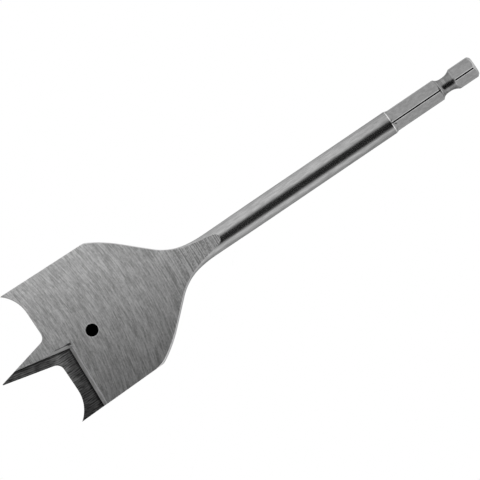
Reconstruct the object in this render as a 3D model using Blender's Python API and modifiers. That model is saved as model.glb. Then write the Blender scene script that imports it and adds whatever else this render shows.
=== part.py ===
"""Spade drill bit, 42.4 mm wide and 160 mm long, with a quarter-inch hexagonal drive end.

The bit is one piece of steel. A round bar is forged flat at one end, both faces of the blade
are ground, and the point, the two spurs and the two cutting lips are ground to shape. The
other end is cut to a hexagon with a retaining groove.

Along the bit, x is measured from the tip of the point. The finished bit is moved so that the
middle of the drive end's face is at the origin: the point then looks along -X, the blade lies
in the XY plane and its upper face looks along +Z. It cuts when it turns clockwise, seen from
the drive end. The half of the blade at -Y leads with its upper face, and a half turn about
the axis gives the other half.
"""

import math

import bmesh
import bpy
from mathutils import Matrix, Vector

MM = 0.001

# Overall sizes
LENGTH = 160.0 * MM
BLADE_WIDTH = 42.4 * MM
BLADE_THICKNESS = 3.0 * MM
SHANK_RADIUS = 3.55 * MM

# Sides of the blade, ground with a little taper to the back and relief behind the leading edge
SIDE_TAPER = math.radians(1.3)
SIDE_RELIEF = math.radians(6.0)
FORGING_ALLOWANCE = 0.5 * MM

# Outline of the forging, from the corner of the blade to the shank; slopes are to the axis
CORNER_X = 38.6 * MM
CORNER_STANDS_PROUD = 0.26 * MM
CORNER_START_SLOPE = math.radians(6.0)
CORNER_RADIUS = 9.0 * MM
CORNER_SLOPE = math.radians(30.2)
SHOULDER_RADIUS = 40.0 * MM
SHOULDER_SLOPE = math.radians(43.2)
NECK_RADIUS = 15.6 * MM
NECK_END_SLOPE = math.radians(9.7)
TAIL_RADIUS = 32.6 * MM
WAIST_DEPTH = 0.09 * MM
WAIST_LENGTH = 18.0 * MM

# Thickness of the forging before the faces are ground
FORGED_EXTRA = 0.25 * MM
ROLLED_EDGE_RADIUS = 1.0 * MM
FORGING_TAPER_START = -13.4 * MM
FORGING_TAPER_END = -4.9 * MM

# Ground faces: flat over the blade, a ramp up the neck, then the wheel lifts off the shank
RAMP_START = -9.8 * MM
RAMP_SLOPE = 0.126
RAMP_BLEND_RADIUS = 40.0 * MM
LIFT_START = 2.6 * MM
LIFT_RADIUS = 4.3 * MM

# Point, lips and spurs; the edges lie at the bottom of the rake recess
POINT_HALF_ANGLE = math.radians(13.4)
POINT_BLUNTED = 0.85 * MM
POINT_ROOT_RADIUS = 2.4 * MM
LIP_X = 16.7 * MM
SPUR_CURVE_REACH = 8.1 * MM
SPUR_CURVE_RADIUS = 10.5 * MM
LIP_RELIEF = math.radians(9.0)
POINT_RELIEF = math.radians(2.5)

# Rake recess in the leading face: a shallow pass over the point and a wheel cut along the lip
TIP_DEPTH = 0.36 * MM
TIP_DEPTH_LOSS = 0.023
RECESS_DEPTH = 1.05 * MM
RECESS_BEHIND_LIP = 4.65 * MM
RECESS_WHEEL_RADIUS = 34.0 * MM
RECESS_WHEEL_BEHIND_LIP = 4.1 * MM
RECESS_SKEW = math.radians(2.55)
RECESS_WALL_SLOPE = math.radians(38.0)
RECESS_FILLET = 0.35 * MM
POINT_WALL_HEADING = math.radians(10.7)
POINT_WALL_OFFSET = 1.95 * MM
POINT_WALL_SLOPE = math.radians(52.0)

# Hole through the blade
HOLE_RADIUS = 1.85 * MM
HOLE_BEHIND_LIP = 12.7 * MM
HOLE_OFF_AXIS = 1.4 * MM

# Hexagonal drive end, a quarter inch across the flats less the usual tolerance
HEX_ACROSS_FLATS = 6.2 * MM
HEX_EDGE_RADIUS = 0.5 * MM
HEX_LENGTH = 28.55 * MM
HEX_TURN = math.radians(11.4)
END_CHAMFER = 0.75 * MM
END_ROUNDING = 0.2 * MM
SHANK_CONE_SLOPE = math.radians(21.0)
HEX_ROOT_DEPTH = 0.6 * MM

# Retaining groove, placed by the middle of its floor
GROOVE_FROM_END = 9.9 * MM
GROOVE_FLOOR_LENGTH = 0.9 * MM
GROOVE_RADIUS = 2.29 * MM
GROOVE_STEEP_ARC = 2.3 * MM
GROOVE_GENTLE_ARC = 4.0 * MM

# Room that a cutter has past what it cuts, and facet counts
MARGIN = 3.0 * MM
POINTS_PER_QUARTER = 16
TURNED_STEPS = 60
HOLE_SIDES = 40


def clear_scene():
    for old in list(bpy.data.objects):
        bpy.data.objects.remove(old, do_unlink=True)


def new_collection(name):
    made = bpy.data.collections.new(name)
    bpy.context.scene.collection.children.link(made)
    return made


def mesh_object(name, bm, collection):
    """Writes bm to a new object in the collection, with its faces looking out."""
    bmesh.ops.recalc_face_normals(bm, faces=bm.faces)
    mesh = bpy.data.meshes.new(name)
    bm.to_mesh(mesh)
    bm.free()
    made = bpy.data.objects.new(name, mesh)
    collection.objects.link(made)
    return made


def prism(name, points, sweep, collection):
    """A flat outline of 3D points, swept along a vector."""
    bm = bmesh.new()
    face = bm.faces.new([bm.verts.new(p) for p in points])
    swept = bmesh.ops.extrude_face_region(bm, geom=[face])
    moved = [v for v in swept["geom"] if isinstance(v, bmesh.types.BMVert)]
    bmesh.ops.translate(bm, vec=Vector(sweep), verts=moved)
    return mesh_object(name, bm, collection)


def turned(name, profile, collection):
    """A solid turned about the X axis from (x, radius) points, listed from its +X end."""
    bm = bmesh.new()
    verts = [bm.verts.new((radius, 0.0, x)) for x, radius in profile]
    for a, b in zip(verts, verts[1:]):
        bm.edges.new((a, b))
    mesh = bpy.data.meshes.new(name)
    bm.to_mesh(mesh)
    bm.free()
    made = bpy.data.objects.new(name, mesh)
    collection.objects.link(made)
    made.matrix_world = Matrix.Rotation(math.pi / 2, 4, "Y")
    screw = made.modifiers.new("turn", "SCREW")
    screw.axis = "Z"
    screw.steps = TURNED_STEPS
    screw.render_steps = TURNED_STEPS
    screw.use_merge_vertices = True
    screw.merge_threshold = 1e-6
    return made


def boolean(target, operation, tool):
    """Cuts, joins or intersects target with tool."""
    step = target.modifiers.new(f"{operation.lower()} {tool.name}", "BOOLEAN")
    step.operation = operation
    step.solver = "EXACT"
    step.object = tool


def arc_steps(start, end, count):
    """The angles of count steps from start to end, without start itself."""
    return [start + (end - start) * k / count for k in range(1, count + 1)]


def side_half_width(x):
    """Half the width of the ground blade at x, on the leading edge."""
    return BLADE_WIDTH / 2 - (x - spur_tip_x()) * math.tan(SIDE_TAPER)


def spur_tip_x():
    """Where the spur's concave arc meets the side of the blade."""
    return LIP_X - SPUR_CURVE_RADIUS + math.sqrt(SPUR_CURVE_RADIUS**2 - SPUR_CURVE_REACH**2)


def follow_arc(points, radius, start_slope, end_slope, steps):
    """Adds an arc to points (x, half width). The half width falls at start_slope, then end_slope."""
    x, y = points[-1]
    turn = 1 if end_slope > start_slope else -1
    for slope in arc_steps(start_slope, end_slope, steps):
        run = radius * turn * (math.sin(slope) - math.sin(start_slope))
        fall = radius * turn * (math.cos(start_slope) - math.cos(slope))
        points.append((x + run, y - fall))


def waist_radius():
    """Where the neck runs out, the bar is a little thinner than the shank."""
    return SHANK_RADIUS - WAIST_DEPTH


def forging_outline():
    """(x, half width) of the forging from its front to the thinnest place of the bar."""
    corner_y = side_half_width(CORNER_X) + CORNER_STANDS_PROUD
    flare_x = CORNER_X - MARGIN / 2
    front_y = BLADE_WIDTH / 2 + FORGING_ALLOWANCE
    points = [(0.0, front_y), (flare_x, front_y), (CORNER_X, corner_y)]

    corner_fall = CORNER_RADIUS * (math.cos(CORNER_START_SLOPE) - math.cos(CORNER_SLOPE))
    neck_fall = NECK_RADIUS * (math.cos(NECK_END_SLOPE) - math.cos(SHOULDER_SLOPE))
    tail_fall = TAIL_RADIUS * (1 - math.cos(NECK_END_SLOPE))
    spare_fall = corner_y - waist_radius() - corner_fall - neck_fall - tail_fall
    shoulder_share = math.cos(CORNER_SLOPE) - math.cos(SHOULDER_SLOPE)
    shoulder_radius = min(SHOULDER_RADIUS, 0.95 * spare_fall / shoulder_share)
    straight_fall = spare_fall - shoulder_radius * shoulder_share

    follow_arc(points, CORNER_RADIUS, CORNER_START_SLOPE, CORNER_SLOPE, 6)
    follow_arc(points, shoulder_radius, CORNER_SLOPE, SHOULDER_SLOPE, 6)
    x, y = points[-1]
    for k in range(1, 5):
        fall = straight_fall * k / 4
        points.append((x + fall / math.tan(SHOULDER_SLOPE), y - fall))
    follow_arc(points, NECK_RADIUS, SHOULDER_SLOPE, NECK_END_SLOPE, 14)
    follow_arc(points, TAIL_RADIUS, NECK_END_SLOPE, 0.0, 5)
    return points


def smooth(low, high, x):
    """0 below low, 1 above high, with an easy passage between."""
    t = min(1.0, max(0.0, (x - low) / (high - low)))
    return t * t * (3 - 2 * t)


def section_ring(x, half_width, half_thickness, corner):
    """A rounded rectangle across the axis at x. Round sections have the same points as flat ones."""
    corner = min(corner, half_width, half_thickness)
    ring = []
    for quarter in range(4):
        y_sign = 1 if quarter in (0, 3) else -1
        z_sign = 1 if quarter in (0, 1) else -1
        for k in range(POINTS_PER_QUARTER):
            angle = (quarter + (k + 0.5) / POINTS_PER_QUARTER) * math.pi / 2
            y = y_sign * (half_width - corner) + corner * math.cos(angle)
            z = z_sign * (half_thickness - corner) + corner * math.sin(angle)
            ring.append(Vector((x, y, z)))
    return ring


def forging_rings():
    """Sections of the forged blank: a flat blade, the neck, the round shank and its end cone."""
    outline = forging_outline()
    neck_x = outline[-1][0]
    flat = BLADE_THICKNESS / 2 + FORGED_EXTRA
    rings = []
    for x, half_width in outline:
        rounding = smooth(neck_x + FORGING_TAPER_START, neck_x + FORGING_TAPER_END, x)
        half_thickness = flat + (waist_radius() - flat) * rounding
        corner = ROLLED_EDGE_RADIUS + (waist_radius() - ROLLED_EDGE_RADIUS) * rounding
        rings.append(section_ring(x, half_width, half_thickness, corner))
    for k in range(1, 6):
        radius = waist_radius() + WAIST_DEPTH * smooth(0, 5, k)
        rings.append(round_ring(neck_x + WAIST_LENGTH * k / 5, radius))
    shank_end = LENGTH - HEX_LENGTH
    cone_depth = SHANK_RADIUS - HEX_ACROSS_FLATS / 2 + HEX_EDGE_RADIUS / 2
    rings.append(round_ring(shank_end, SHANK_RADIUS))
    cone_end = shank_end + cone_depth / math.tan(SHANK_CONE_SLOPE)
    rings.append(round_ring(cone_end, SHANK_RADIUS - cone_depth))
    return rings


def round_ring(x, radius):
    return section_ring(x, radius, radius, radius)


def loft(name, rings, collection):
    """A closed solid through rings that have equally many points."""
    bm = bmesh.new()
    rings = [[bm.verts.new(p) for p in ring] for ring in rings]
    for near, far in zip(rings, rings[1:]):
        for k in range(len(near)):
            bm.faces.new((near[k - 1], near[k], far[k], far[k - 1]))
    bm.faces.new(rings[0])
    bm.faces.new(rings[-1])
    return mesh_object(name, bm, collection)


def ground_height(x, neck_x):
    """Half the thickness that the face grinding leaves at x."""
    blend = RAMP_SLOPE * RAMP_BLEND_RADIUS
    along = x - neck_x - RAMP_START + blend / 2
    bend = min(blend, max(0.0, along)) ** 2 / (2 * RAMP_BLEND_RADIUS)
    ramp = max(0.0, along - blend) * RAMP_SLOPE
    lift = max(0.0, x - neck_x - LIFT_START) ** 2 / (2 * LIFT_RADIUS)
    return BLADE_THICKNESS / 2 + bend + ramp + lift


def ground_slab(collection):
    """What both ground faces leave: a slab that opens out where the wheel runs up the shank."""
    neck_x = forging_outline()[-1][0]
    clear = SHANK_RADIUS + MARGIN
    blend = RAMP_SLOPE * RAMP_BLEND_RADIUS
    blend_start = neck_x + RAMP_START - blend / 2
    stations = [-MARGIN, *[blend_start + blend * k / 8 for k in range(9)], neck_x + LIFT_START]
    x = stations[-1]
    while ground_height(x, neck_x) < SHANK_RADIUS + MARGIN / 4:
        x += 0.3 * MM
        stations.append(x)
    top = [(s, ground_height(s, neck_x)) for s in stations]
    top += [(x, clear), (LENGTH + MARGIN, clear)]
    outline = top + [(s, -height) for s, height in reversed(top)]
    reach = BLADE_WIDTH / 2 + MARGIN
    points = [(s, -reach, height) for s, height in outline]
    return prism("ground_slab", points, (0, 2 * reach, 0), collection)


def recess_depth(behind_lip):
    """Depth of the rake recess under the face, at a distance behind the lip."""
    point_pass = TIP_DEPTH - TIP_DEPTH_LOSS * (behind_lip + LIP_X)
    off_centre = behind_lip - RECESS_WHEEL_BEHIND_LIP
    wheel_pass = RECESS_DEPTH - off_centre**2 / (2 * RECESS_WHEEL_RADIUS)
    return max(point_pass, wheel_pass)


def lip_z():
    """Height of the cutting lip, at the bottom of the rake recess."""
    return BLADE_THICKNESS / 2 - recess_depth(0.0)


def spur_tip_z():
    """Height of the spur's tip, also at the bottom of the skewed recess."""
    skewed = BLADE_WIDTH / 2 * math.tan(RECESS_SKEW)
    return BLADE_THICKNESS / 2 - recess_depth(spur_tip_x() - LIP_X + skewed)


def notch_outline():
    """Plan of the notch between point and spur, as (x, distance from the axis)."""
    slope = math.tan(POINT_HALF_ANGLE)
    front = -2 * MARGIN
    points = [(front, slope * (front + POINT_BLUNTED))]

    # The root fillet touches the flank and the lip
    centre_x = LIP_X - POINT_ROOT_RADIUS
    flank_at_centre = slope * (centre_x + POINT_BLUNTED)
    centre_y = flank_at_centre + POINT_ROOT_RADIUS / math.cos(POINT_HALF_ANGLE)
    start = POINT_HALF_ANGLE - math.pi / 2
    for angle in [start, *arc_steps(start, 0.0, 8)]:
        x = centre_x + POINT_ROOT_RADIUS * math.cos(angle)
        points.append((x, centre_y + POINT_ROOT_RADIUS * math.sin(angle)))

    # The lip, then the concave arc that ends past the tip of the spur
    spur_start = BLADE_WIDTH / 2 - SPUR_CURVE_REACH
    past_side = SPUR_CURVE_REACH + FORGING_ALLOWANCE + MARGIN / 10
    end = math.asin(past_side / SPUR_CURVE_RADIUS)
    for angle in [0.0, *arc_steps(0.0, end, 12)]:
        x = LIP_X - SPUR_CURVE_RADIUS * (1 - math.cos(angle))
        points.append((x, spur_start + SPUR_CURVE_RADIUS * math.sin(angle)))
    points.append((points[-1][0], BLADE_WIDTH / 2 + MARGIN))
    points.append((front, BLADE_WIDTH / 2 + MARGIN))
    return points


def leaning_cutter(name, plan, edge_z, lean_x, lean_y, collection):
    """A cutter for the -Y half, true at the edge's height and leaning in below it for relief."""
    top = BLADE_THICKNESS / 2 + MARGIN
    above_edge = top - edge_z
    height = 2 * top
    points = [(x - above_edge * lean_x, -y - above_edge * lean_y, top) for x, y in plan]
    return prism(name, points, (height * lean_x, height * lean_y, -height), collection)


def notch_cutter(collection):
    lean_x = math.tan(LIP_RELIEF)
    lean_y = math.tan(POINT_RELIEF)
    return leaning_cutter("notch", notch_outline(), lip_z(), lean_x, lean_y, collection)


def side_cutter(collection):
    """Grinds the side of the -Y half, with its taper and its relief."""
    front = -2 * MARGIN
    back = CORNER_X + 2 * MARGIN
    outside = BLADE_WIDTH / 2 + 2 * MARGIN
    plan = [(front, side_half_width(front)), (back, side_half_width(back))]
    plan += [(back, outside), (front, outside)]
    return leaning_cutter("side", plan, spur_tip_z(), 0.0, math.tan(SIDE_RELIEF), collection)


def recess_floor():
    """The recess lengthwise, as (distance behind the lip, height), up the wall behind the lip."""
    face = BLADE_THICKNESS / 2
    wall_foot = RECESS_BEHIND_LIP
    wheel_start = wall_foot - LIP_X / 2
    stations = [-LIP_X - MARGIN, wheel_start]
    stations += [wheel_start + (wall_foot - wheel_start) * k / 14 for k in range(1, 14)]
    floor = [(s, face - recess_depth(s)) for s in stations]

    # The fillet between the floor and the wall
    foot_z = face - recess_depth(wall_foot)
    cut_back = RECESS_FILLET * math.tan(RECESS_WALL_SLOPE / 2)
    for angle in [0.0, *arc_steps(0.0, RECESS_WALL_SLOPE, 4)]:
        s = wall_foot - cut_back + RECESS_FILLET * math.sin(angle)
        floor.append((s, foot_z + RECESS_FILLET * (1 - math.cos(angle))))
    rise = face + MARGIN / 2 - foot_z
    floor.append((wall_foot + rise / math.tan(RECESS_WALL_SLOPE), foot_z + rise))
    return floor


def recess_cutter(collection):
    """The rake recess of the -Y half. Its second wall starts from a straight line along the point."""
    top = BLADE_THICKNESS / 2 + MARGIN
    far = BLADE_WIDTH / 2 + 2 * MARGIN
    rings = []
    for s, z in recess_floor():
        foot_y = (RECESS_BEHIND_LIP - s) * math.tan(POINT_WALL_HEADING) - POINT_WALL_OFFSET
        top_y = foot_y + (top - z) / math.tan(POINT_WALL_SLOPE)
        outline = [(-far, z), (foot_y, z), (top_y, top), (-far, top)]
        rings.append([Vector((LIP_X + s + y * math.tan(RECESS_SKEW), y, h)) for y, h in outline])
    return loft("recess", rings, collection)


def half_turned(cutter, collection):
    """The same cutter for the other half, a half turn about the axis away."""
    half_turn = Matrix.Rotation(math.pi, 4, "X")
    copy = cutter.copy()
    copy.name = cutter.name + "_other_half"
    collection.objects.link(copy)
    copy.matrix_world = half_turn @ cutter.matrix_world
    return copy


def hole_cutter(collection):
    bm = bmesh.new()
    place = Matrix.Translation((LIP_X + HOLE_BEHIND_LIP, -HOLE_OFF_AXIS, 0))
    bmesh.ops.create_cone(
        bm,
        cap_ends=True,
        segments=HOLE_SIDES,
        radius1=HOLE_RADIUS,
        radius2=HOLE_RADIUS,
        depth=BLADE_THICKNESS + 2 * MARGIN,
        matrix=place,
    )
    return mesh_object("hole", bm, collection)


def groove_arc(centre_x, radius, towards_end):
    """One side of the groove as (x, radius) points that rise from its floor, past the hexagon."""
    rise = HEX_ACROSS_FLATS / math.sqrt(3) - GROOVE_RADIUS + 0.15 * MM
    sweep = math.acos(max(0.0, 1 - rise / radius))
    direction = 1 if towards_end else -1
    arc = []
    for angle in [0.0, *arc_steps(0.0, sweep, 9)]:
        x = centre_x + direction * radius * math.sin(angle)
        arc.append((x, GROOVE_RADIUS + radius * (1 - math.cos(angle))))
    return arc


def drive_profile():
    """(x, radius) of the turned form that the hexagon is cut to, from the end inwards."""
    outer = groove_arc(0.0, GROOVE_STEEP_ARC, True)[-1][1]
    flat_end = HEX_ACROSS_FLATS / 2 - END_CHAMFER / 2
    profile = [(LENGTH, 0.0), (LENGTH, flat_end - END_ROUNDING)]
    for angle in arc_steps(0.0, math.pi / 4, 3):
        x = LENGTH - END_ROUNDING * (1 - math.cos(angle))
        profile.append((x, flat_end - END_ROUNDING + END_ROUNDING * math.sin(angle)))
    last_x, last_radius = profile[-1]
    profile.append((last_x - (outer - last_radius), outer))

    middle = LENGTH - GROOVE_FROM_END
    half_floor = GROOVE_FLOOR_LENGTH / 2
    profile += reversed(groove_arc(middle + half_floor, GROOVE_GENTLE_ARC, True))
    profile += groove_arc(middle - half_floor, GROOVE_STEEP_ARC, False)

    hex_start = LENGTH - HEX_LENGTH
    profile.append((hex_start, outer))
    profile.append((hex_start - HEX_ROOT_DEPTH, outer - HEX_ROOT_DEPTH))
    profile.append((hex_start - HEX_ROOT_DEPTH, 0.0))
    return profile


def drive_end(collection):
    """The hexagon with rounded edges, cut to its turned form."""
    length = HEX_LENGTH + HEX_ROOT_DEPTH + 2 * MARGIN
    middle = LENGTH - HEX_LENGTH / 2 - HEX_ROOT_DEPTH / 2
    lay_down = Matrix.Rotation(math.pi / 2, 4, "Y")
    corner_radius = HEX_ACROSS_FLATS / math.sqrt(3)
    bm = bmesh.new()
    bmesh.ops.create_cone(
        bm, cap_ends=True, segments=6, radius1=corner_radius, radius2=corner_radius, depth=length
    )
    first = max((v.co for v in bm.verts), key=lambda co: co.x)
    square_up = Matrix.Rotation(-math.atan2(first.y, first.x), 4, "Z")
    turn = Matrix.Rotation(HEX_TURN, 4, "X")
    bmesh.ops.transform(bm, matrix=turn @ lay_down @ square_up, verts=bm.verts)
    bmesh.ops.translate(bm, vec=(middle, 0, 0), verts=bm.verts)
    hexagon = mesh_object("drive_hexagon", bm, collection)
    rounding = hexagon.modifiers.new("edge rounding", "BEVEL")
    rounding.width = HEX_EDGE_RADIUS * math.tan(math.radians(30))
    rounding.segments = 3
    rounding.limit_method = "ANGLE"
    rounding.angle_limit = math.radians(50)
    boolean(hexagon, "INTERSECT", turned("drive_form", drive_profile(), collection))
    return hexagon


def steel():
    material = bpy.data.materials.new("ground_steel")
    material.use_nodes = True
    shader = material.node_tree.nodes["Principled BSDF"]
    shader.inputs["Base Color"].default_value = (0.42, 0.42, 0.42, 1.0)
    shader.inputs["Metallic"].default_value = 1.0
    shader.inputs["Roughness"].default_value = 0.36
    return material


def build():
    clear_scene()
    parts = new_collection("spade_drill_bit")
    cutters = new_collection("cutters")

    bit = loft("spade_bit", forging_rings(), parts)
    boolean(bit, "INTERSECT", ground_slab(cutters))
    for cutter in (side_cutter(cutters), notch_cutter(cutters), recess_cutter(cutters)):
        boolean(bit, "DIFFERENCE", cutter)
        boolean(bit, "DIFFERENCE", half_turned(cutter, cutters))
    boolean(bit, "DIFFERENCE", hole_cutter(cutters))
    boolean(bit, "UNION", drive_end(cutters))
    bit.data.materials.append(steel())

    # Everything hangs on the axis, whose zero goes to the end of the drive
    axis = bpy.data.objects.new("bit_axis", None)
    parts.objects.link(axis)
    for obj in [bit, *cutters.objects]:
        obj.parent = axis
    axis.location.x = -LENGTH
    for tool in cutters.objects:
        tool.hide_render = True
        tool.display_type = "WIRE"


build()
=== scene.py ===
"""Looks of the spade drill bit: ground, forged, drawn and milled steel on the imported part.

The bit lies along X with its point at -X, and its upper face looks along +Z. Lengths are in
millimetres and go through MM. "Along" is a distance from the tip of the point. The half of
the blade at -Y leads with its upper face, the half at +Y with its lower one.

A tone is a metal's brightness, from 0 to 1. A pair of places gives where a change begins and
ends, and a pair of tones or factors goes with it.
"""

import math

import bmesh
import bpy
from mathutils import Matrix, Vector


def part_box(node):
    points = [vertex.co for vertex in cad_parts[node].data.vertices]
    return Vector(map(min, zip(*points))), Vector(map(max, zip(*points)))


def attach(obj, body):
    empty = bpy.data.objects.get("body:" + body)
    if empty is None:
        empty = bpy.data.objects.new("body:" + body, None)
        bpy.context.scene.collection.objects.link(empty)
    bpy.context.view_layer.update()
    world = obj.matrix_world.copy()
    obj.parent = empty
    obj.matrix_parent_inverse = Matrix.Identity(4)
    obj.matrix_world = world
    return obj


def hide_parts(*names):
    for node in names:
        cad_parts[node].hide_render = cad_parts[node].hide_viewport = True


MM = 0.001
NODE = "spade_bit"

# Forms of the part that the finishes follow
BLADE_HALF_THICKNESS = 1.5
LIP_ALONG = 16.7
FLANK_SLOPE = math.tan(math.radians(13.4))
RECESS_BEHIND_LIP = 4.65
RECESS_SKEW = math.tan(math.radians(2.55))
RECESS_END = 23.5
POINT_WALL_SLOPE = math.tan(math.radians(10.7))
POINT_WALL_OFFSET = 1.95
HOLE_ALONG = 29.4
HOLE_ASIDE = -1.4
HOLE_RADIUS = 1.85
CORNER_ALONG = 38.6
NECK_START = 52.0
NECK_END = 69.3
TONGUE_END = 75.0
HEX_LENGTH = 28.55
HEX_HALF_WIDTH = 3.1
GROOVE_REACH = (11.8, 7.0)

# How the surfaces are told apart. Flatness is the size of a face normal's part along Z, a lean
# is its part along X, and a tilt is its part along Y.
WALL_FLATNESS = 0.5
RECESS_FLATNESS = 0.93
RAMP_FLATNESS = 0.8
FACE_FLATNESS = 0.985
FACE_TILT = 0.02
WALL_TILT = 0.5
FACE_SLACK = 0.02
HOLE_SLACK = 0.1
HEX_SLACK = 0.3
CONE_LENGTH = 2.0
CONE_LEAN = (0.3, 0.45)
GROOVE_LEAN = 0.01
CHAMFER_LENGTH = 1.0
CHAMFER_LEAN = 0.3

# Mesh: points closer than WELD are one, flatter edges go, and sharper ones stay sharp
WELD = 0.001
DISSOLVE_ANGLE = math.radians(0.05)
SHARP_ANGLE = math.radians(14)
LARGE_FACES_FIRST = 100

# Each steel's roughness, darkest tone, lightest tone, and length of its grain in X, Y and Z
STEELS = {
    "ground_face": (0.34, 0.4, 0.82, (0.35, 0.6, 1.0)),
    "ground_recess": (0.35, 0.04, 0.24, (1.8, 0.25, 1.0)),
    "recess_point_wall": (0.45, 0.5, 0.7, (2.5, 0.5, 0.5)),
    "recess_back_wall": (0.4, 0.16, 0.27, (0.5, 2.5, 0.5)),
    "ground_edges": (0.35, 0.36, 0.48, (2.0, 2.0, 0.3)),
    # The hole's wall is near black: painted shade for the shadow inside the hole.
    "hole_wall_painted_shade": (0.5, 0.01, 0.03, (1.0, 1.0, 1.0)),
    "forged_flanks": (0.28, 0.37, 0.5, (1.5, 0.8, 0.8)),
    "drawn_shank": (0.24, 0.35, 0.52, (3.0, 0.5, 0.5)),
    "turned_ring": (0.26, 0.3, 0.95, (1.0, 1.0, 1.0)),
    "milled_hexagon": (0.22, 0.25, 0.33, (1.2, 0.7, 0.7)),
    "turned_groove": (0.22, 0.19, 0.27, (0.4, 1.5, 1.5)),
    "turned_chamfer": (0.3, 0.5, 0.6, (1.0, 1.0, 1.0)),
}
EDGE_TINT = (0.6, 0.6, 0.6, 1.0)
NOISE_MIDDLE = 0.5
LINES_DETAIL = 2.0
RECESS_DETAIL = 1.5
GRAIN_DETAIL = 3.0
GRAIN_SPAN = (0.3, 0.7)
GRAIN_RELIEF = 0.004

# Grinding lines of the blade's faces: arcs of the wheel's rim, broad and fine, over the grain.
# They are longer and deeper on the neck.
ARC_RADIUS = 82.0
ARC_MIDDLE = 4.0
BROAD_LINES = (1.0, 7.0, 1.0)
BROAD_SHARE = 0.2
FINE_LINE_WIDTH = 0.33
FINE_LINE_LENGTHS = (3.5, 9.0)
LENGTHENED = (NECK_START, NECK_START + 8)
LINES_SHARE = 0.7
DEEPENED = (NECK_START, NECK_END - 6)
DEEPER_ON_NECK = 2.2
FACE_SWING = 0.13
FACE_RELIEF = 0.012

# Painted highlight on the rim of the hole, fading out between these distances from the hole's middle
RIM_HIGHLIGHT_REACH = (HOLE_RADIUS + 0.1, HOLE_RADIUS + 0.4)
RIM_HIGHLIGHT = 0.16

# Painted shade along a burr by the recess wall: a dark line, wider where it ends
BURR_ASIDE = -0.35
BURR_SLOPE = -0.15
BURR_BEGINS = (16.8, 18.3)
BURR_WIDENS = (20.6, 21.7)
BURR_ENDS = (22.2, 22.5)
BURR_WIDER = 0.2
BURR_SIDE = (0.08, 0.22)
BURR_SHADE_TONE = 0.15

# Floor of the recess: regular stripes over uneven lines, painted shade by the walls, and a brighter
# inner half of the lip
STRIPE_LENGTH = 0.095
STRIPE_SPAN = (0.25, 0.75)
UNEVEN_SHARE = 0.7
RECESS_SPAN = (0.36, 0.64)
RECESS_RELIEF = 0.02
WALL_SHADE_REACH = (0.25, 0.9)
WALL_SHADE_TONE = 0.25
RUBBED_REACH = (1.5, 3.8)
RUBBED_ASIDE = (-15.0, -10.0)
RUBBED_BRIGHTER = 0.9
RUBBED_ALONG = (LIP_ALONG - 2.5, LIP_ALONG)

# Painted highlight on a line along the recess's back wall
WALL_LINE_HEIGHT = 1.25
WALL_LINE_SIDE = (0.05, 0.2)
WALL_LINE_HIGHLIGHT = 1.6

# Forged flanks: a painted highlight round the blade, and painted shade near the middle of their
# thickness
FORGED_HIGHLIGHT_FADES = (NECK_START + 4, NECK_END)
FORGED_HIGHLIGHT = 1.6
FORGED_SHADE_REACH = (0.3, BLADE_HALF_THICKNESS)
FORGED_SHADE_TONE = 0.7

# The bar has painted shade towards the drive end, and its end has a bright line of painted highlight
BAR_SHADE_START = 114.0
BAR_SHADE_TONE = 0.8
RING_HIGHLIGHT_REACH = (0.05, 0.35)

# Painted dark reflection on the hexagon's ridges, with painted highlights beside it, in half turns,
# and a painted dark spot of it where the flats begin
DARK_REFLECTION_TURN = math.radians(13.2)
DARK_REFLECTION_SIDE = (0.0205, 0.0245)
DARK_REFLECTION_TONE = 0.02
RIDGE_HIGHLIGHT_SIDE = (0.027, 0.04)
RIDGE_HIGHLIGHT = 2.5
SPOT_ALONG = 132.1
SPOT_ASIDE = -1.45
SPOT_LENGTH = 0.7
SPOT_WIDTH = 0.32
SPOT_SIDE = (0.5, 1.2)
SPOT_TONE = 0.04

# Groove: painted highlights where it meets the flats, and on a line GROOVE_LINE from the end
GROOVE_HIGHLIGHT_REACH = (HEX_HALF_WIDTH - 0.3, HEX_HALF_WIDTH - 0.1)
GROOVE_EDGE_HIGHLIGHT = 1.6
GROOVE_LINE = 11.85
GROOVE_LINE_SIDE = (0.08, 0.25)
GROOVE_LINE_HIGHLIGHT = 2.4

# Camera: the point it looks at and where it stands, measured from the tip on the axis
AIM_ALONG = 77.97
AIM_ASIDE = -3.665
CAMERA_HEIGHT = 1000.0
CAMERA_ASIDE = -101.7
FRAME_WIDTH = 134.9
ROLL = math.radians(34.14)
SENSOR = 36.0
CLIP = (10.0, 10000.0)

# Floor, with the reach of the shade that the bit keeps on it and how open it is where it turns
# from dark to white. Reflections see a softer shade on the side at -Y.
FLOOR_SIZE = 3000.0
FLOOR_GREY = (0.8, 0.8, 0.8, 1.0)
SHADE_REACH = 25.0
SHADE_SAMPLES = 32
SHADE_EDGE = (0.24, 0.32)
SOFT_SHADE = (-35.0, -8.0)
SOFT_SHADE_TONES = (0.9, 0.62)
LIT_SIDE = (-8.0, -4.0)
LIT_SIDE_TONE = 0.9

# Dark card above the bit. Its angles are seen from the axis, from straight up towards +Y, and
# its edges fade to the white of the room. Over the blade its far edge is cut back.
CARD_HEIGHT = 150.0
CARD_ENDS = (-390.0, 140.0)
CARD_DARK_FROM = math.radians(-50)
CARD_DARK_TO = math.radians(2)
CARD_WHITE_FROM = math.radians(-73)
CARD_WHITE_TO = math.radians(27)
CARD_LIGHT = 0.03
CARD_CUT_ALONG = (10.0, 50.0)
CARD_CUT = (6.0, 20.0)
CARD_CUT_ENDS = (NECK_START + 2, NECK_END + 1)


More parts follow.
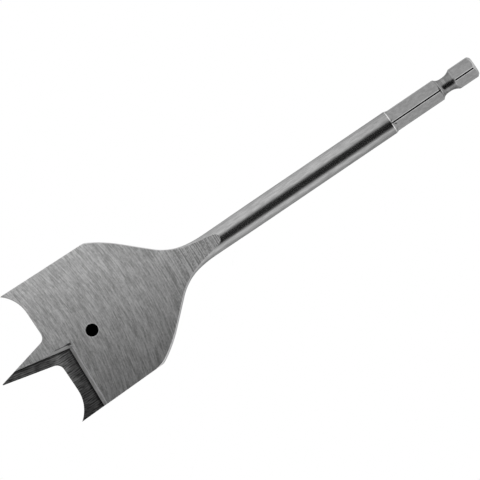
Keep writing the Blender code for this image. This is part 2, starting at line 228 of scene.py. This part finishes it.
class Nodes:
    """Short calls for building one material's node tree."""

    def __init__(self, material):
        material.use_nodes = True
        self.tree = material.node_tree
        self.tree.nodes.clear()

    def add(self, kind, **settings):
        node = self.tree.nodes.new(kind)
        for name, value in settings.items():
            setattr(node, name, value)
        return node

    def link(self, source, target):
        self.tree.links.new(source, target)

    def feed(self, socket, value):
        """Sets a socket, or links it where the value is another socket."""
        if isinstance(value, bpy.types.NodeSocket):
            self.link(value, socket)
        else:
            socket.default_value = value

    def math(self, operation, a, b=0.0):
        node = self.add("ShaderNodeMath", operation=operation)
        self.feed(node.inputs[0], a)
        self.feed(node.inputs[1], b)
        return node.outputs[0]

    def product(self, a, b):
        return self.math("MULTIPLY", a, b)

    def total(self, a, b):
        return self.math("ADD", a, b)

    def difference(self, a, b):
        return self.math("SUBTRACT", a, b)

    def scaled(self, value, length):
        return self.math("DIVIDE", value, length)

    def average(self, a, b, share_of_a):
        return self.total(self.product(a, share_of_a), self.product(b, 1 - share_of_a))

    def off(self, value, middle):
        """How far a value is from a middle."""
        return self.math("ABSOLUTE", self.difference(value, middle))

    def distance(self, a, b):
        """Length of the vector that has these two parts."""
        squares = [self.math("POWER", value, 2.0) for value in (a, b)]
        return self.math("SQRT", self.total(*squares))

    def spread(self, value, low, high, to_low, to_high):
        """Maps low..high of a value to another range, and holds it there."""
        node = self.add("ShaderNodeMapRange")
        for socket, given in zip(node.inputs, (value, low, high, to_low, to_high)):
            self.feed(socket, given)
        return node.outputs[0]

    def vector(self, x, y, z):
        node = self.add("ShaderNodeCombineXYZ")
        for socket, value in zip(node.inputs, (x, y, z)):
            self.feed(socket, value)
        return node.outputs[0]

    def grey(self, value):
        return self.vector(value, value, value)

    def noise(self, place, lengths, detail):
        """Noise whose features are about as long along each axis as the lengths say."""
        node = self.add("ShaderNodeTexNoise")
        scaled = [self.scaled(value, length) for value, length in zip(place, lengths)]
        self.link(self.vector(*scaled), node.inputs["Vector"])
        node.inputs["Scale"].default_value = 1.0
        node.inputs["Detail"].default_value = detail
        return node.outputs["Fac"]

    def place(self):
        """X, Y and Z in millimetres, with X from the tip."""
        coordinates = self.add("ShaderNodeTexCoord")
        mapping = self.add("ShaderNodeMapping")
        self.link(coordinates.outputs["Object"], mapping.inputs["Vector"])
        mapping.inputs["Location"].default_value = (LENGTH, 0.0, 0.0)
        mapping.inputs["Scale"].default_value = (1 / MM, 1 / MM, 1 / MM)
        split = self.add("ShaderNodeSeparateXYZ")
        self.link(mapping.outputs[0], split.inputs[0])
        return split.outputs

    def leading(self, y, z):
        """Y for the upper face and -Y for the lower one, so that both faces get the same marks."""
        return self.product(y, self.math("SIGN", z))

    def output(self, surface):
        end = self.add("ShaderNodeOutputMaterial")
        self.link(surface, end.inputs["Surface"])


class Steel(Nodes):
    """A steel material: a metal shader whose tone and relief come from one pattern."""

    def __init__(self, name):
        self.material = bpy.data.materials.new(name)
        super().__init__(self.material)
        roughness, self.dark, self.light, self.lengths = STEELS[name]
        self.shader = self.add("ShaderNodeBsdfPrincipled")
        self.shader.inputs["Metallic"].default_value = 1.0
        self.shader.inputs["Roughness"].default_value = roughness
        self.shader.inputs["Specular Tint"].default_value = EDGE_TINT
        self.output(self.shader.outputs[0])

    def grain(self, place, detail=GRAIN_DETAIL):
        return self.noise(place, self.lengths, detail)

    def tones(self, pattern, low, high):
        """The steel's tones, dark where a pattern is low and light where it is high."""
        return self.spread(pattern, low, high, self.dark, self.light)

    def tone(self, value):
        self.link(self.grey(value), self.shader.inputs["Base Color"])

    def relief(self, height, depth):
        bump = self.add("ShaderNodeBump")
        bump.inputs["Strength"].default_value = 1.0
        bump.inputs["Distance"].default_value = depth * MM
        self.link(height, bump.inputs["Height"])
        self.link(bump.outputs[0], self.shader.inputs["Normal"])


def face_steel():
    """The blade's faces and the tongue on the neck, ground across."""
    steel = Steel("ground_face")
    x, y, z = steel.place()
    off_centre = steel.difference(y, ARC_MIDDLE)
    bow = steel.scaled(steel.math("POWER", off_centre, 2.0), 2 * ARC_RADIUS)
    across = steel.total(x, bow)
    broad = steel.noise((across, y, z), BROAD_LINES, LINES_DETAIL)
    line_length = steel.spread(x, *LENGTHENED, *FINE_LINE_LENGTHS)
    fine = steel.noise((across, y, z), (FINE_LINE_WIDTH, line_length, 1.0), LINES_DETAIL)
    lines = steel.average(broad, fine, BROAD_SHARE)
    pattern = steel.average(lines, steel.grain((x, y, z), LINES_DETAIL), LINES_SHARE)

    # The lines are deeper on the neck, where the wheel ran out
    depth = steel.spread(x, *DEEPENED, 1.0, DEEPER_ON_NECK)
    swing = steel.product(steel.difference(pattern, NOISE_MIDDLE), depth)
    tone = steel.tones(swing, -FACE_SWING, FACE_SWING)

    # A painted highlight brightens the rim of the hole
    from_hole = steel.distance(steel.difference(x, HOLE_ALONG), steel.difference(y, HOLE_ASIDE))
    tone = steel.total(tone, steel.spread(from_hole, *RIM_HIGHLIGHT_REACH, RIM_HIGHLIGHT, 0.0))

    # A dark line of painted shade follows a fine burr along the recess wall, where the wheel left
    # the point
    past_start = steel.difference(x, BURR_BEGINS[0])
    burr_y = steel.total(steel.product(past_start, BURR_SLOPE), BURR_ASIDE)
    from_burr = steel.off(steel.leading(y, z), burr_y)
    wider = steel.spread(x, *BURR_WIDENS, 0.0, BURR_WIDER)
    outside_burr_shade = steel.spread(steel.difference(from_burr, wider), *BURR_SIDE, BURR_SHADE_TONE, 1.0)
    before = steel.spread(x, *BURR_BEGINS, 1.0, 0.0)
    behind = steel.spread(x, *BURR_ENDS, 0.0, 1.0)
    outside_burr_shade = steel.math("MAXIMUM", outside_burr_shade, steel.math("MAXIMUM", before, behind))
    steel.tone(steel.product(tone, outside_burr_shade))
    steel.relief(lines, FACE_RELIEF)
    return steel.material


def recess_steel():
    """Floor of the rake recess: dark, with lines along it and along the flank of the point."""
    steel = Steel("ground_recess")
    x, y, z = steel.place()
    leading = steel.leading(y, z)
    drop = steel.product(steel.math("MINIMUM", x, LIP_ALONG), FLANK_SLOPE)
    across = steel.total(leading, drop)
    uneven = steel.grain((x, across, z), RECESS_DETAIL)
    wave = steel.math("SINE", steel.scaled(across, STRIPE_LENGTH))
    lines = steel.average(uneven, steel.spread(wave, -1.0, 1.0, *STRIPE_SPAN), UNEVEN_SHARE)
    tone = steel.tones(lines, *RECESS_SPAN)

    # Painted shade darkens the floor next to its two walls
    skewed = steel.product(leading, RECESS_SKEW)
    behind_lip = steel.difference(steel.difference(x, LIP_ALONG), skewed)
    to_back = steel.difference(RECESS_BEHIND_LIP, behind_lip)
    wall_y = steel.difference(steel.product(to_back, POINT_WALL_SLOPE), POINT_WALL_OFFSET)
    to_side = steel.difference(wall_y, leading)
    clear_of_walls = steel.math("MINIMUM", to_back, to_side)
    tone = steel.product(tone, steel.spread(clear_of_walls, *WALL_SHADE_REACH, WALL_SHADE_TONE, 1.0))

    # The inner half of the lip is rubbed brighter by the chips
    by_lip = steel.spread(to_back, *RUBBED_REACH, 0.0, 1.0)
    inner = steel.spread(leading, *RUBBED_ASIDE, 0.0, RUBBED_BRIGHTER)
    off_point = steel.spread(x, *RUBBED_ALONG, 0.0, 1.0)
    rubbed = steel.product(steel.product(by_lip, inner), off_point)
    steel.tone(steel.product(tone, steel.total(rubbed, 1.0)))
    steel.relief(lines, RECESS_RELIEF)
    return steel.material


def hexagon_steel():
    """Milled flats. The upper and the lower ridge keep a dark line of painted reflection between
    lines of painted highlight.
    """
    steel = Steel("milled_hexagon")
    x, y, z = steel.place()
    grain = steel.grain((x, y, z))
    turn = steel.total(steel.math("ARCTAN2", y, z), DARK_REFLECTION_TURN)
    halves = steel.scaled(turn, math.pi)
    off_ridge = steel.off(halves, steel.math("ROUND", halves))
    ridge_dark_reflection = steel.spread(off_ridge, *DARK_REFLECTION_SIDE, DARK_REFLECTION_TONE, 1.0)
    ridge_highlight = steel.spread(off_ridge, *RIDGE_HIGHLIGHT_SIDE, RIDGE_HIGHLIGHT, 1.0)
    tone = steel.product(steel.tones(grain, *GRAIN_SPAN), steel.product(ridge_dark_reflection, ridge_highlight))

    # A painted dark reflection makes a spot beside the ridge where the flats begin
    spot_x = steel.scaled(steel.difference(x, SPOT_ALONG), SPOT_LENGTH)
    spot_y = steel.scaled(steel.difference(steel.leading(y, z), SPOT_ASIDE), SPOT_WIDTH)
    spot = steel.spread(steel.distance(spot_x, spot_y), *SPOT_SIDE, SPOT_TONE, 1.0)
    steel.tone(steel.product(tone, spot))
    steel.relief(grain, GRAIN_RELIEF)
    return steel.material


def groove_steel():
    """The turned groove, darker than the flats, with painted highlights where it meets them and on a
    line across it.
    """
    steel = Steel("turned_groove")
    x, y, z = steel.place()
    grain = steel.grain((x, y, z))
    painted_highlight = steel.spread(steel.distance(y, z), *GROOVE_HIGHLIGHT_REACH, 1.0, GROOVE_EDGE_HIGHLIGHT)
    from_line = steel.off(x, LENGTH - GROOVE_LINE)
    line = steel.spread(from_line, *GROOVE_LINE_SIDE, GROOVE_LINE_HIGHLIGHT, 1.0)
    tone = steel.tones(grain, *GRAIN_SPAN)
    steel.tone(steel.product(tone, steel.math("MAXIMUM", painted_highlight, line)))
    steel.relief(grain, GRAIN_RELIEF)
    return steel.material


def shank_steel():
    """The drawn bar, a little darker towards the drive end with painted shade."""
    steel = Steel("drawn_shank")
    x, y, z = steel.place()
    grain = steel.grain((x, y, z))
    bar_shade = steel.spread(x, BAR_SHADE_START, LENGTH - HEX_LENGTH, 1.0, BAR_SHADE_TONE)
    steel.tone(steel.product(steel.tones(grain, *GRAIN_SPAN), bar_shade))
    steel.relief(grain, GRAIN_RELIEF)
    return steel.material


def ring_steel():
    """The cone at the shank's end, with a bright line of painted highlight round its edge."""
    steel = Steel("turned_ring")
    from_edge = steel.difference(steel.place()["X"], LENGTH - HEX_LENGTH)
    steel.tone(steel.spread(from_edge, *RING_HIGHLIGHT_REACH, steel.light, steel.dark))
    return steel.material


def forged_steel():
    """The rolled flanks of the forging, with a painted highlight round the blade, like the bar
    behind it, and painted shade near the middle of their thickness.
    """
    steel = Steel("forged_flanks")
    x, y, z = steel.place()
    grain = steel.grain((x, y, z))
    painted_highlight = steel.spread(x, *FORGED_HIGHLIGHT_FADES, FORGED_HIGHLIGHT, 1.0)
    height = steel.math("ABSOLUTE", z)
    flank_shade = steel.spread(height, *FORGED_SHADE_REACH, FORGED_SHADE_TONE, 1.0)
    steel.tone(steel.product(steel.tones(grain, *GRAIN_SPAN), steel.product(painted_highlight, flank_shade)))
    steel.relief(grain, GRAIN_RELIEF)
    return steel.material


def back_wall_steel():
    """The recess's back wall, with a painted highlight on a line below its top edge."""
    steel = Steel("recess_back_wall")
    x, y, z = steel.place()
    from_line = steel.off(steel.math("ABSOLUTE", z), WALL_LINE_HEIGHT)
    painted_highlight = steel.spread(from_line, *WALL_LINE_SIDE, WALL_LINE_HIGHLIGHT, 1.0)
    tone = steel.tones(steel.grain((x, y, z)), *GRAIN_SPAN)
    steel.tone(steel.product(tone, painted_highlight))
    return steel.material


def plain_steel(name):
    """Steel of an even tone with a fine grain."""
    steel = Steel(name)
    grain = steel.grain(steel.place())
    steel.tone(steel.tones(grain, *GRAIN_SPAN))
    steel.relief(grain, GRAIN_RELIEF)
    return steel.material


FINISHES = {
    "face": face_steel,
    "recess": recess_steel,
    "point_wall": lambda: plain_steel("recess_point_wall"),
    "back_wall": back_wall_steel,
    "edge": lambda: plain_steel("ground_edges"),
    "hole": lambda: plain_steel("hole_wall_painted_shade"),
    "forged": forged_steel,
    "shank": shank_steel,
    "ring": ring_steel,
    "hexagon": hexagon_steel,
    "groove": groove_steel,
    "chamfer": lambda: plain_steel("turned_chamfer"),
}


def drive_finish(along, lean):
    """Which finish a face of the hexagonal end has."""
    to_end = LENGTH - along
    if HEX_LENGTH - to_end < CONE_LENGTH and CONE_LEAN[0] < lean < CONE_LEAN[1]:
        return "ring"
    if to_end < CHAMFER_LENGTH and lean > CHAMFER_LEAN:
        return "chamfer"
    in_groove = GROOVE_REACH[0] > to_end > GROOVE_REACH[1]
    return "groove" if in_groove and abs(lean) > GROOVE_LEAN else "hexagon"


def finish_of(face):
    """Which finish a face of the bit has, from where it lies and how it looks out."""
    middle = face.calc_center_median() / MM
    along = middle.x + LENGTH
    flatness = abs(face.normal.z)
    if along > LENGTH - HEX_LENGTH - HEX_SLACK:
        return drive_finish(along, face.normal.x)
    if along > TONGUE_END:
        return "shank"
    if along < RECESS_END and flatness > WALL_FLATNESS:
        if abs(middle.z) > BLADE_HALF_THICKNESS - FACE_SLACK:
            return "face"
        if flatness > RECESS_FLATNESS:
            return "recess"
        return "point_wall" if abs(face.normal.y) > WALL_TILT else "back_wall"
    if along < CORNER_ALONG and flatness < WALL_FLATNESS:
        from_hole = math.hypot(along - HOLE_ALONG, middle.y - HOLE_ASIDE)
        return "hole" if from_hole < HOLE_RADIUS + HOLE_SLACK else "edge"
    ground = abs(face.normal.y) < FACE_TILT and flatness > RAMP_FLATNESS
    if ground and (along > NECK_START or flatness > FACE_FLATNESS):
        return "face"
    return "shank" if along > NECK_END else "forged"


def dress(node):
    """The node's own form as a piece with a finish for each ground, drawn or milled surface."""
    bm = bmesh.new()
    bm.from_mesh(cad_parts[node].data)
    bmesh.ops.remove_doubles(bm, verts=bm.verts, dist=WELD * MM)
    bmesh.ops.dissolve_limit(bm, angle_limit=DISSOLVE_ANGLE, verts=bm.verts, edges=bm.edges)
    names = list(FINISHES)
    for face in bm.faces:
        face.smooth = True
        face.material_index = names.index(finish_of(face))
    for edge in bm.edges:
        edge.smooth = edge.is_manifold and edge.calc_face_angle() < SHARP_ANGLE
    mesh = bpy.data.meshes.new("bit_steel")
    bm.to_mesh(mesh)
    bm.free()
    for make in FINISHES.values():
        mesh.materials.append(make())
    piece = bpy.data.objects.new("bit_steel", mesh)
    bpy.context.scene.collection.objects.link(piece)
    weighted = piece.modifiers.new("flat faces stay flat", "WEIGHTED_NORMAL")
    weighted.keep_sharp = True
    weighted.weight = LARGE_FACES_FIRST
    return piece


def floor_material():
    """White to the camera, and dark under the bit. Reflections see its softer shadow."""
    material = bpy.data.materials.new("white_floor")
    nodes = Nodes(material)
    closeness = nodes.add("ShaderNodeAmbientOcclusion", samples=SHADE_SAMPLES)
    closeness.inputs["Distance"].default_value = SHADE_REACH * MM
    path = nodes.add("ShaderNodeLightPath")
    y = nodes.place()["Y"]
    to_camera = nodes.spread(closeness.outputs["AO"], *SHADE_EDGE, 0.0, 1.0)
    shadow = nodes.spread(y, *SOFT_SHADE, *SOFT_SHADE_TONES)
    lit_side = nodes.spread(y, *LIT_SIDE, 0.0, LIT_SIDE_TONE)
    to_mirrors = nodes.product(nodes.math("MAXIMUM", shadow, lit_side), to_camera)
    by_camera = nodes.product(path.outputs["Is Camera Ray"], to_camera)
    glow = nodes.add("ShaderNodeEmission")
    nodes.link(nodes.grey(nodes.math("MAXIMUM", by_camera, to_mirrors)), glow.inputs["Color"])
    matt = nodes.add("ShaderNodeBsdfDiffuse")
    matt.inputs["Color"].default_value = FLOOR_GREY
    seen = nodes.math("MAXIMUM", path.outputs["Is Camera Ray"], path.outputs["Is Glossy Ray"])
    seen = nodes.math("MAXIMUM", seen, path.outputs["Is Transmission Ray"])
    mix = nodes.add("ShaderNodeMixShader")
    nodes.link(seen, mix.inputs[0])
    nodes.link(matt.outputs[0], mix.inputs[1])
    nodes.link(glow.outputs[0], mix.inputs[2])
    nodes.output(mix.outputs[0])
    return material


def card_material():
    """Dark in the middle, and fading to white towards the two long edges."""
    material = bpy.data.materials.new("dark_card")
    nodes = Nodes(material)
    place = nodes.place()
    x = place["X"]
    y = place["Y"]
    angle = nodes.math("ARCTANGENT", nodes.scaled(y, CARD_HEIGHT))
    near = nodes.spread(angle, CARD_WHITE_FROM, CARD_DARK_FROM, 1.0, CARD_LIGHT)
    over_blade = nodes.spread(x, *CARD_CUT_ALONG, *CARD_CUT)
    over_neck = nodes.spread(x, *CARD_CUT_ENDS, CARD_CUT[1], 0.0)
    far_y = nodes.total(y, nodes.math("MINIMUM", over_blade, over_neck))
    far_angle = nodes.math("ARCTANGENT", nodes.scaled(far_y, CARD_HEIGHT))
    far = nodes.spread(far_angle, CARD_DARK_TO, CARD_WHITE_TO, CARD_LIGHT, 1.0)
    glow = nodes.add("ShaderNodeEmission")
    nodes.link(nodes.grey(nodes.math("MAXIMUM", near, far)), glow.inputs["Color"])
    nodes.output(glow.outputs[0])
    return material


def build_stage():
    """A pale floor that shows white to the camera, the white room and the dark card."""
    middle_x = -LENGTH / 2 * MM
    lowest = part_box(NODE)[0].z
    bpy.ops.mesh.primitive_plane_add(size=FLOOR_SIZE * MM, location=(middle_x, 0, lowest))
    floor = bpy.context.object
    floor.name = "floor"
    floor.data.materials.append(floor_material())

    near = CARD_HEIGHT * math.tan(CARD_WHITE_FROM)
    far = CARD_HEIGHT * math.tan(CARD_WHITE_TO)
    start, end = CARD_ENDS
    corners = [(start, near), (start, far), (end, far), (end, near)]
    card_mesh = bpy.data.meshes.new("dark_card")
    card_mesh.from_pydata([Vector((x, y, CARD_HEIGHT)) * MM for x, y in corners], [], [(0, 1, 2, 3)])
    card = bpy.data.objects.new("dark_card", card_mesh)
    bpy.context.scene.collection.objects.link(card)
    card.data.materials.append(card_material())
    card.visible_camera = False
    card.visible_diffuse = False
    card.visible_shadow = False

    world = bpy.data.worlds.new("studio")
    bpy.context.scene.world = world
    world.use_nodes = True
    background = world.node_tree.nodes["Background"]
    background.inputs["Color"].default_value = (1.0, 1.0, 1.0, 1.0)
    background.inputs["Strength"].default_value = 1.0


def place_camera():
    """Looks down on the bit, turned so that the shank runs up to the right."""
    aim = Vector((AIM_ALONG - LENGTH, AIM_ASIDE, 0.0)) * MM
    eye = Vector((AIM_ALONG - LENGTH, CAMERA_ASIDE, CAMERA_HEIGHT)) * MM
    camera = bpy.data.cameras.new("camera")
    camera.sensor_width = SENSOR
    camera.lens = SENSOR * (eye - aim).length / (FRAME_WIDTH * MM)
    camera.clip_start = CLIP[0] * MM
    camera.clip_end = CLIP[1] * MM
    holder = bpy.data.objects.new("camera", camera)
    bpy.context.scene.collection.objects.link(holder)
    back = (eye - aim).normalized()
    along = Vector((1, 0, 0))
    right = along * math.cos(ROLL) - back.cross(along) * math.sin(ROLL)
    axes = Matrix((right, back.cross(right), back)).transposed().to_4x4()
    holder.matrix_world = Matrix.Translation(eye) @ axes
    bpy.context.scene.camera = holder


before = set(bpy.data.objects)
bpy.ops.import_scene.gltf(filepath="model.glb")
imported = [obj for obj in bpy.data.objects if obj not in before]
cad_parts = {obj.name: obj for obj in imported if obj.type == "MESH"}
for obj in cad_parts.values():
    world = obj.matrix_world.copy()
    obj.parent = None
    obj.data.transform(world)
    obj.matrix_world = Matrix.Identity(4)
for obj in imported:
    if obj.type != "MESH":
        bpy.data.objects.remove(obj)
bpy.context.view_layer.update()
LENGTH = -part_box(NODE)[0].x / MM

bit = dress(NODE)
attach(bit, "root")
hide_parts(NODE)
build_stage()
place_camera()
bpy.context.scene.view_settings.view_transform = "Standard"
